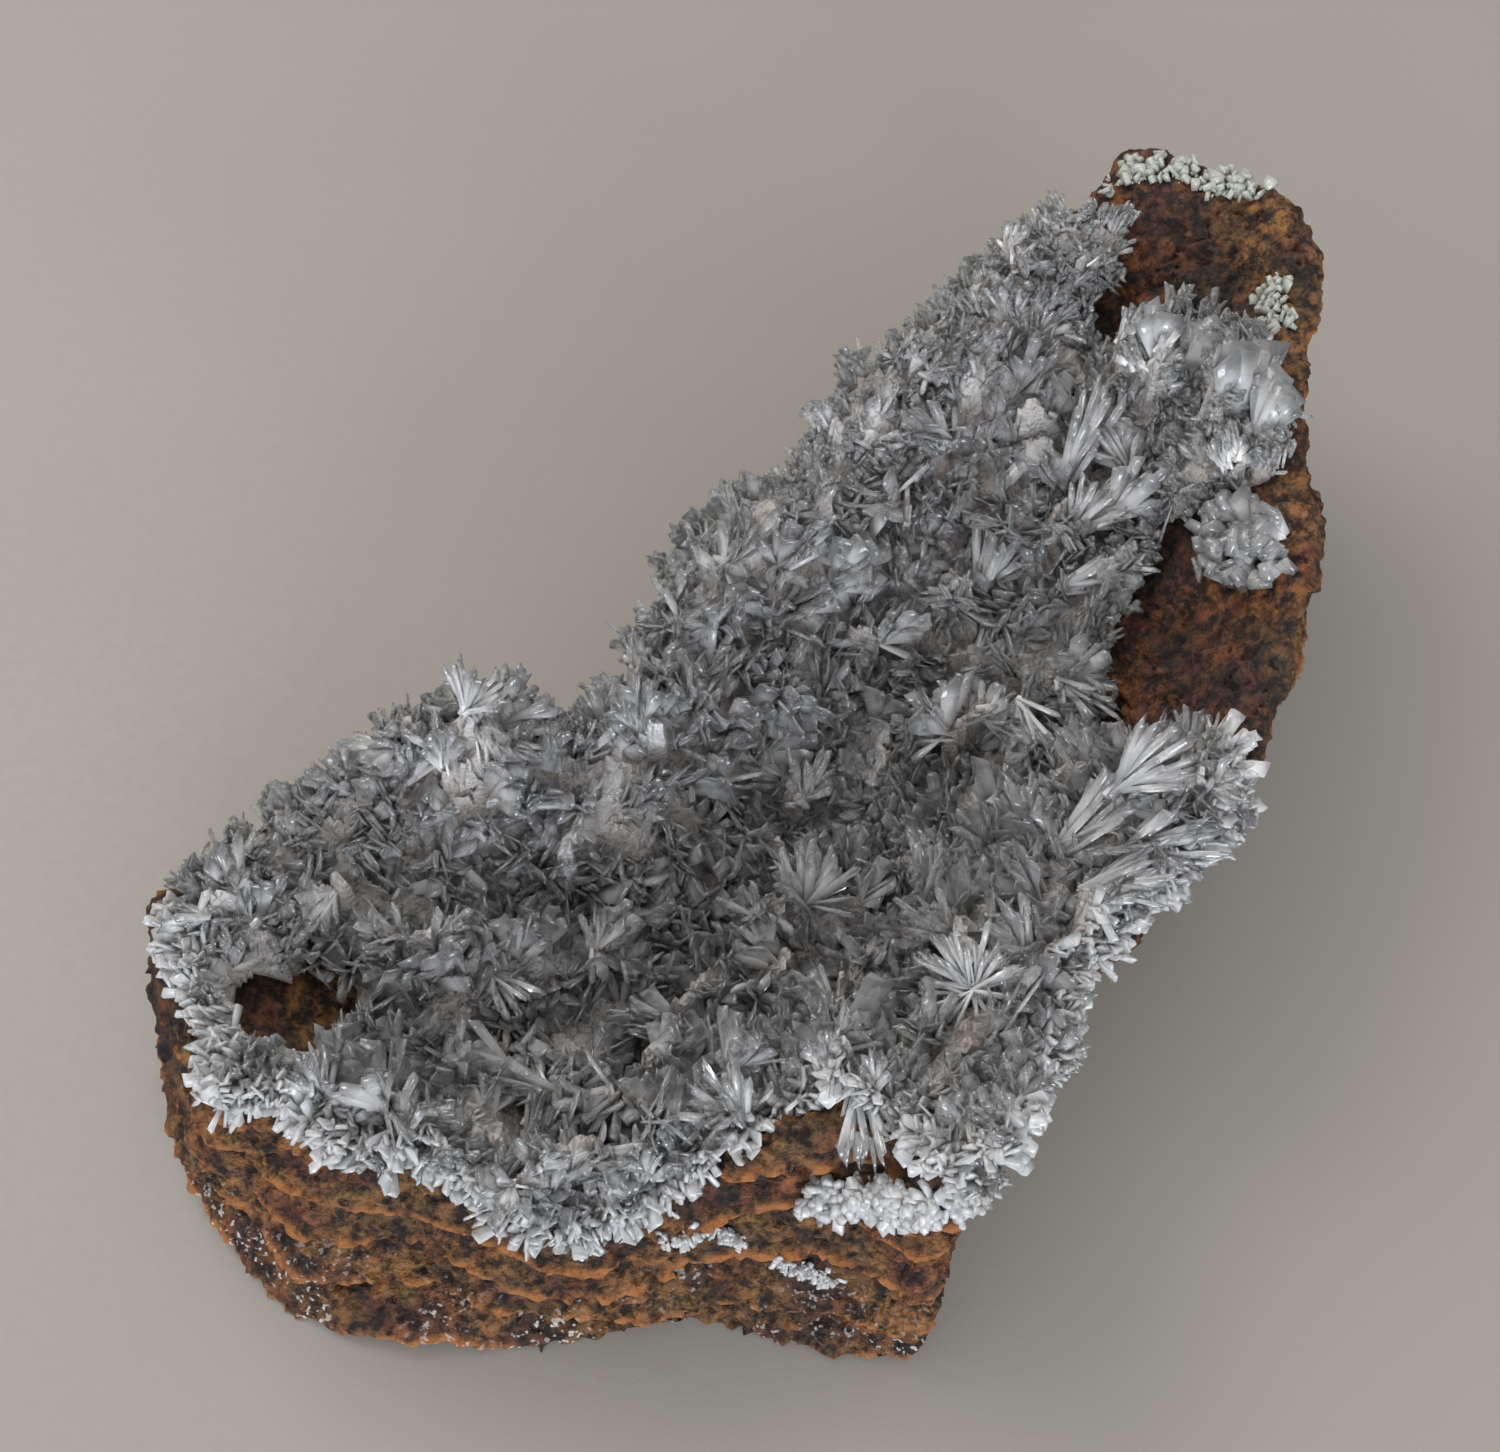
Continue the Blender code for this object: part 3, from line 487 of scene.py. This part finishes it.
def plates(crystals, rng):
    """The plates and fans that stand out, each with its broad side to the front."""
    for x, y, lift, right, up, count, spread, length, width in PLATES:
        top, _ = bed(x, y)
        axis = unit(np.array((right, 0.0, 0.0)) + UPWARDS * up + TOWARDS * 0.45)
        plane = unit(TOWARDS - axis * (TOWARDS @ axis) + rng.normal(0, 0.10, 3))
        if count > 1 and width < BROAD:
            count, width = 2 * count + 4, 0.45 * width
        fan(crystals, np.array((x, y, top + lift)), axis, plane, count, spread, length, width, rng, 0.3)


def facets(q, size):
    """Height of a jumble of flat facets: each cell of the pattern is a plane with its own tilt and level."""
    centre = noise.voronoi(q / size)[1][0]
    tilt = noise.cell_vector(centre * 7.3 + Vector((0.5, 0.5, 0.5)))
    across = q / size - centre
    return (tilt.x - 0.5) * across.x * 1.8 + (tilt.y - 0.5) * across.y * 1.8 + (tilt.z - 0.5) * 0.9


GROUND_PITCH = 0.55
GROUND_TAPER = 5  # cells over which the ground thins out at its edge


def make_ground():
    """The rough ground of the crust, as a closed sheet that starts in the rock and thins out at its edge."""
    xs, ys = np.arange(-66, 66.1, GROUND_PITCH), np.arange(-71.5, 67.1, GROUND_PITCH)
    low = np.full((len(xs), len(ys)), np.nan)
    rise = np.zeros_like(low)
    for i, x in enumerate(xs):
        for j, y in enumerate(ys):
            if not covered(x, y) or in_window(x, y, -0.4):
                continue
            top, _ = bed(x, y)
            if top is None:
                continue
            q = Vector((x, y, top))
            low[i, j] = top
            rise[i, j] = 2.0 + 1.5 * facets(q, 3.1) + 1.0 * facets(q + Vector((40, 9, 3)), 1.5)
    full = ~np.isnan(low)
    level, mask = np.zeros(low.shape), full.copy()
    for _ in range(GROUND_TAPER):
        mask[1:-1, 1:-1] &= mask[2:, 1:-1] & mask[:-2, 1:-1] & mask[1:-1, 2:] & mask[1:-1, :-2]
        level += mask
    height = np.stack([low - 1.2, low - 0.5 + (rise + 0.5) * np.sqrt(level / GROUND_TAPER)], axis=2)
    points, faces, names = [], [], {}

    def corner(i, j, k):
        if (i, j, k) not in names:
            names[i, j, k] = len(points)
            points.append((xs[i] * MM, ys[j] * MM, height[i, j, k] * MM))
        return names[i, j, k]

    cells = full[:-1, :-1] & full[1:, :-1] & full[1:, 1:] & full[:-1, 1:]
    for i, j in zip(*np.nonzero(cells)):
        loop = ((i, j), (i + 1, j), (i + 1, j + 1), (i, j + 1))
        faces.append(tuple(corner(*c, 1) for c in loop))
        faces.append(tuple(corner(*c, 0) for c in reversed(loop)))
        for (a, b), (di, dj) in zip(zip(loop, loop[1:] + loop[:1]), ((0, -1), (1, 0), (0, 1), (-1, 0))):
            ni, nj = i + di, j + dj
            beyond = 0 <= ni < cells.shape[0] and 0 <= nj < cells.shape[1] and cells[ni, nj]
            if not beyond:
                faces.append((corner(*a, 0), corner(*b, 0), corner(*b, 1), corner(*a, 1)))
    return add_mesh("crust_ground", points, faces)


def small_growth(name, edge, spacing, sizes, stout, rng):
    """A little druse of short crystals over an outline on the rock."""
    crystals = Crystals()
    xs = [p[0] for p in edge]
    ys = [p[1] for p in edge]
    area = (max(xs) - min(xs)) * (max(ys) - min(ys))
    for _ in range(int(area / spacing**2)):
        x, y = rng.uniform(min(xs), max(xs)), rng.uniform(min(ys), max(ys))
        top, normal = top_of(rock_tree, x, y)
        if not inside(x, y, edge) or top is None:
            continue
        normal = np.array(normal)
        axis = unit(normal + UP * 0.3 + rng.normal(0, 0.6, 3))
        size = rng.uniform(*sizes)
        across = any_across(axis, rng)
        crystals.add(
            np.array((x, y, top)) - normal * 0.3, axis, across, size, size * rng.uniform(0.5, 1.0) * stout,
            size * rng.uniform(0.2, 0.5) * stout,
        )
    return crystals.mesh(name)


def pack_seam(crystals, start, end, count, breadth, sizes, rng):
    """Small crystals packed along a slit in the wall."""
    start, end = np.array(start, float), np.array(end, float)
    for _ in range(count):
        share = rng.uniform(0, 1)
        place = start + (end - start) * share + rng.normal(0, breadth, 3) * (0.4 + math.sin(math.pi * share))
        near, normal, _, _ = rock_tree.find_nearest(Vector(place) * MM)
        normal = np.array(normal)
        axis = unit(normal * 0.7 + rng.normal(0, 0.6, 3))
        across = any_across(axis, rng)
        size = rng.uniform(*sizes)
        crystals.add(np.array(near) / MM - normal * 0.2, axis, across, size, size * 0.4, size * 0.25)


def seam(name, *streak):
    """A piece of one streak of small crystals."""
    crystals = Crystals()
    pack_seam(crystals, *streak)
    return crystals.mesh(name)


# ---- materials


def new_material(name):
    made = bpy.data.materials.new(name)
    made.use_nodes = True
    return made, made.node_tree, made.node_tree.nodes["Principled BSDF"]


def add(tree, kind, **settings):
    """A node with its settings."""
    made = tree.nodes.new(kind)
    for key, value in settings.items():
        setattr(made, key, value)
    return made


def fill(tree, socket, source):
    """Links a socket to another socket, or gives it a number or a colour."""
    if isinstance(source, bpy.types.NodeSocket):
        tree.links.new(source, socket)
    else:
        socket.default_value = (*source, 1.0) if isinstance(source, tuple) else source


def noise_node(tree, vector, scale, detail, rough=0.55):
    made = add(tree, "ShaderNodeTexNoise")
    made.inputs["Scale"].default_value = scale
    made.inputs["Detail"].default_value = detail
    made.inputs["Roughness"].default_value = rough
    tree.links.new(vector, made.inputs["Vector"])
    return made.outputs["Fac"]


def ramp(tree, value, stops):
    made = add(tree, "ShaderNodeValToRGB")
    band = made.color_ramp
    while len(band.elements) < len(stops):
        band.elements.new(0.5)
    for element, (place, colour) in zip(band.elements, stops):
        element.position = place
        element.color = (*colour, 1.0)
    tree.links.new(value, made.inputs["Fac"])
    return made.outputs["Color"]


def span(tree, value, low, high, to_low=0.0, to_high=1.0):
    made = add(tree, "ShaderNodeMapRange")
    for key, number in zip(("From Min", "From Max", "To Min", "To Max"), (low, high, to_low, to_high)):
        made.inputs[key].default_value = number
    tree.links.new(value, made.inputs["Value"])
    return made.outputs["Result"]


def blend_colours(tree, share, a, b, kind="MIX"):
    made = add(tree, "ShaderNodeMix", data_type="RGBA", blend_type=kind)
    for number, source in ((0, share), (6, a), (7, b)):  # the sockets of a colour mix
        fill(tree, made.inputs[number], source)
    return made.outputs[2]


def maths(tree, operation, a, b):
    made = add(tree, "ShaderNodeMath", operation=operation)
    for socket, source in zip(made.inputs, (a, b)):
        fill(tree, socket, source)
    return made.outputs[0]


def attribute(tree, name):
    return add(tree, "ShaderNodeAttribute", attribute_name=name).outputs["Fac"]


def object_place(tree):
    return tree.nodes.new("ShaderNodeTexCoord").outputs["Object"]


def bump(tree, shader, height, strength, distance):
    made = add(tree, "ShaderNodeBump")
    made.inputs["Strength"].default_value = strength
    made.inputs["Distance"].default_value = distance
    tree.links.new(height, made.inputs["Height"])
    tree.links.new(made.outputs["Normal"], shader.inputs["Normal"])


def limonite_material():
    made, tree, shader = new_material("limonite_rock")
    place = object_place(tree)
    brown = ramp(
        tree,
        noise_node(tree, place, 75, 4, 0.68),
        [(0.36, (0.012, 0.006, 0.004)), (0.47, (0.042, 0.015, 0.006)), (0.56, (0.080, 0.027, 0.008)),
         (0.66, (0.13, 0.050, 0.013))],
    )
    ochre = span(tree, attribute(tree, "ochre"), 0.0, 1.0, 0.0, 0.7)
    colour = blend_colours(tree, ochre, brown, (0.155, 0.086, 0.026))
    grain = noise_node(tree, place, 520, 3, 0.75)
    shade = ramp(tree, grain, [(0.40, (0.08, 0.07, 0.07)), (0.49, (0.62, 0.60, 0.58)), (0.60, (1.6, 1.45, 1.25))])
    grained = blend_colours(tree, 1.0, colour, shade, "MULTIPLY")
    broken = span(tree, noise_node(tree, place, 260, 3, 0.7), 0.34, 0.54)
    lip = maths(tree, "MULTIPLY", attribute(tree, "lip"), broken)
    with_lips = blend_colours(tree, span(tree, lip, 0.05, 0.7, 0.0, 0.74), grained, (0.32, 0.113, 0.024))
    # Painted shade: recesses under the lips, holes and dips of the grain are darkened nearly to black.
    pit_shade = span(tree, attribute(tree, "pit_shade"), 0.08, 0.65, 0.0, 0.90)
    with_pit_shade = blend_colours(tree, pit_shade, with_lips, (0.018, 0.008, 0.004))
    speck = span(tree, noise_node(tree, place, 1300, 1, 0.6), 0.60, 0.66)
    axes = tree.nodes.new("ShaderNodeSeparateXYZ")
    tree.links.new(place, axes.inputs[0])
    down, forward = span(tree, axes.outputs["Z"], 0.016, 0.004), span(tree, axes.outputs["Y"], -0.050, -0.060)
    low = maths(tree, "MULTIPLY", down, forward)
    patchy = span(tree, noise_node(tree, place, 130, 1), 0.45, 0.6)
    white = maths(tree, "MULTIPLY", maths(tree, "MULTIPLY", speck, low), patchy)
    final = blend_colours(tree, maths(tree, "MULTIPLY", white, 0.8), with_pit_shade, (0.50, 0.46, 0.42))
    tree.links.new(final, shader.inputs["Base Color"])
    tree.links.new(span(tree, grain, 0.3, 0.7, 0.95, 0.72), shader.inputs["Roughness"])
    bump(tree, shader, noise_node(tree, place, 900, 3, 0.75), 1.0, 0.0006)
    return made


def crystal_material(name, clear_colour, root_colour, root_share, tip_share, roughness):
    """Milky at the root and clear at the tip: the shares are how much light passes straight through."""
    made, tree, shader = new_material(name)
    rise, tone = attribute(tree, "rise"), attribute(tree, "tone")
    colour = blend_colours(tree, span(tree, rise, 0.0, 0.6), root_colour, clear_colour)
    toned = blend_colours(tree, span(tree, tone, 0.0, 1.0, 0.0, 0.10), colour, (0.985, 0.99, 1.0))
    tree.links.new(toned, shader.inputs["Base Color"])
    shader.inputs["IOR"].default_value = 1.61
    tree.links.new(span(tree, rise, 0.1, 0.75, root_share, tip_share), shader.inputs["Transmission Weight"])
    place = tree.nodes.new("ShaderNodeTexCoord").outputs["UV"]
    stretch = add(tree, "ShaderNodeMapping")
    stretch.inputs["Scale"].default_value = (2.4, 0.15, 1.0)
    tree.links.new(place, stretch.inputs["Vector"])
    lines = noise_node(tree, stretch.outputs[0], 1.0, 1, 0.6)  # fine lines along the blade
    lines.node.noise_dimensions = "2D"
    tree.links.new(span(tree, lines, 0.3, 0.7, roughness, roughness + 0.06), shader.inputs["Roughness"])
    bump(tree, shader, lines, 0.4, 0.00003)
    return made


def ground_material():
    made, tree, shader = new_material("crust_ground")
    place = object_place(tree)
    stops = [(0.35, (0.40, 0.36, 0.335)), (0.55, (0.50, 0.475, 0.46)), (0.7, (0.60, 0.595, 0.60))]
    tree.links.new(ramp(tree, noise_node(tree, place, 60, 2), stops), shader.inputs["Base Color"])
    tree.links.new(span(tree, noise_node(tree, place, 900, 1), 0.3, 0.7, 0.15, 0.6), shader.inputs["Roughness"])
    shader.inputs["Transmission Weight"].default_value = 0.10
    shader.inputs["IOR"].default_value = 1.61
    bump(tree, shader, noise_node(tree, place, 1100, 2, 0.6), 1.0, 0.0008)
    return made


def floor_material():
    made, tree, shader = new_material("table_top")
    place = object_place(tree)
    stops = [(0.3, (0.245, 0.223, 0.195)), (0.7, (0.275, 0.252, 0.222))]
    tree.links.new(ramp(tree, noise_node(tree, place, 6, 3), stops), shader.inputs["Base Color"])
    tree.links.new(span(tree, noise_node(tree, place, 700, 3), 0.3, 0.7, 0.48, 0.58), shader.inputs["Roughness"])
    bump(tree, shader, noise_node(tree, place, 1500, 2), 0.12, 0.0002)
    return made


def dress(piece, look, *nodes, slot="hemimorphite"):
    """Gives a piece its material, hangs it on the root body and hides the CAD parts it stands for."""
    piece.data.materials.clear()
    piece.data.materials.append(look)
    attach(piece, "root")
    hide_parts(*nodes)


# ---- the pieces

# Clear and root colour, share of light that passes at the root and at the tip, and roughness.
clear_crystal = crystal_material("hemimorphite_clear", (1.0, 1.0, 1.0), (0.95, 0.915, 0.89), 0.14, 0.90, 0.02)
white_crystal = crystal_material("hemimorphite_white", (1.0, 1.0, 1.0), (0.92, 0.925, 0.935), 0.25, 0.90, 0.03)
fringe_crystal = crystal_material("hemimorphite_fringe", (1.0, 1.0, 1.0), (0.97, 0.98, 1.0), 0.08, 0.66, 0.04)
tip_crystal = crystal_material("hemimorphite_dull", (0.62, 0.64, 0.55), (0.36, 0.37, 0.28), 0.10, 0.50, 0.20)

dress(make_rock(), limonite_material(), "matrix", slot="limonite")
dress(make_ground(), ground_material(), "crystal_crust")

crust = Crystals()
scatter(crust, random_numbers)
places = np.array(crust.rows)
left = places[:, 0] < -24
front = ~left & (places[:, 1] < -40)
centre = ~left & (places[:, 1] >= -40) & (places[:, 1] < -4)
arm = ~left & (places[:, 1] >= -4) & (places[:, 1] < 28)
far = ~left & (places[:, 1] >= 28)
for name, keep in (("left", left), ("front", front), ("centre", centre), ("arm", arm), ("far", far)):
    dress(crust.mesh("crystals_" + name, keep), clear_crystal, "crystal_crust")

edge = Crystals()
fringe(edge, FRONT_EDGE, 12.0, 2.8, (1.6, 3.8), random_numbers)
fringe(edge, RIGHT_FRONT_EDGE, 9.0, 4.0, (1.8, 4.0), random_numbers)
for start, end, count in LEDGE_STRIP:
    pack_seam(edge, start, end, count, 0.55, (1.4, 3.2), random_numbers)
dress(edge.mesh("crust_fringe"), fringe_crystal, "crystal_crust")

stand_out = Crystals()
plates(stand_out, random_numbers)
dress(stand_out.mesh("crystal_plates"), white_crystal, "crystal_crust")

for name, outline, spacing, sizes, stout, look, node in (
    ("edge_crystals", EDGE_CLUSTER, 0.95, (2.5, 5.5), 0.8, clear_crystal, "edge_cluster"),
    ("tip_crystals", TIP, 0.62, (0.7, 2.1), 1.0, tip_crystal, "tip_druse"),
    ("rim_crystals", RIM, 0.6, (0.8, 1.9), 1.0, tip_crystal, "rim_druse"),
):
    dress(small_growth(name, outline, spacing, sizes, stout, random_numbers), look, node)
for name, start, end, count, sizes, node in (
    ("front_seam_crystals", (-10.9, -67.8, 24), (-2.4, -67.8, 18.5), 110, (0.8, 1.9), "front_seam"),
    ("lower_seam_crystals", (1.4, -68.8, 14.5), (7.6, -69.8, 13), 90, (0.8, 1.7), "lower_seam"),
):
    dress(seam(name, start, end, count, 0.25, sizes, random_numbers), fringe_crystal, node)

# ---- floor, lights and camera

FLOOR_HALF, FLOOR_LEVEL = 3, -0.0002
corners = [(a * FLOOR_HALF, b * FLOOR_HALF, FLOOR_LEVEL) for a, b in ((-1, -1), (1, -1), (1, 1), (-1, 1))]
floor = add_mesh("floor", corners, [(0, 1, 2, 3)])
floor.data.materials.append(floor_material())

AIM = Vector((-0.0014, 0.0012, 0.015))
ELEVATION = math.radians(58)
DISTANCE = 0.2646


def add_light(name, place, aim, size, power, colour):
    lamp = bpy.data.lights.new(name, "AREA")
    lamp.shape = "RECTANGLE"
    lamp.size, lamp.size_y = size
    lamp.energy = power
    lamp.color = colour
    made = bpy.data.objects.new(name, lamp)
    made.location = place
    made.rotation_mode = "QUATERNION"
    made.rotation_quaternion = (Vector(aim) - Vector(place)).to_track_quat("-Z", "Y")
    bpy.context.scene.collection.objects.link(made)


add_light("key", (-0.32, 0.30, 0.62), AIM, (0.40, 0.30), 1.4, (1.0, 0.97, 0.93))
add_light("front", (0.10, -0.60, 0.20), (0.0, -0.04, 0.02), (0.55, 0.20), 3.0, (0.86, 0.92, 1.0))


def softbox(tree, direction, inner, outer):
    """A round patch of the world: 1 up to inner degrees from direction, and 0 beyond outer degrees."""
    towards = add(tree, "ShaderNodeVectorMath", operation="DOT_PRODUCT")
    tree.links.new(tree.nodes.new("ShaderNodeTexCoord").outputs["Generated"], towards.inputs[0])
    towards.inputs[1].default_value = Vector(direction).normalized()
    return span(tree, towards.outputs["Value"], math.cos(math.radians(outer)), math.cos(math.radians(inner)))


world = bpy.data.worlds.new("studio")
world.use_nodes = True
light = (0.90, 0.90, 0.90)
# Two soft boxes, behind to the left and low in front, and a dark card to the right.
for direction, inner, outer, colour in (
    ((-0.55, 0.45, 0.75), 10, 30, (2.4, 2.35, 2.3)),
    ((0.15, -0.95, 0.30), 8, 28, (2.3, 2.45, 2.7)),
    ((0.9, 0.2, 0.1), 25, 55, (0.30, 0.29, 0.28)),
):
    light = blend_colours(world.node_tree, softbox(world.node_tree, direction, inner, outer), light, colour)
world.node_tree.links.new(light, world.node_tree.nodes["Background"].inputs["Color"])
bpy.context.scene.world = world
bpy.context.scene.view_settings.view_transform = "Standard"
bpy.context.scene.cycles.max_bounces = 6
bpy.context.scene.cycles.diffuse_bounces = 2

camera = bpy.data.objects.new("camera", bpy.data.cameras.new("camera"))
camera.data.lens = 50
camera.data.sensor_width = 36
camera.data.clip_start, camera.data.clip_end = 0.01, 10
camera.location = AIM + DISTANCE * Vector((0, -math.cos(ELEVATION), math.sin(ELEVATION)))
camera.rotation_mode = "QUATERNION"
camera.rotation_quaternion = (AIM - camera.location).to_track_quat("-Z", "Y")
bpy.context.scene.collection.objects.link(camera)
bpy.context.scene.camera = camera
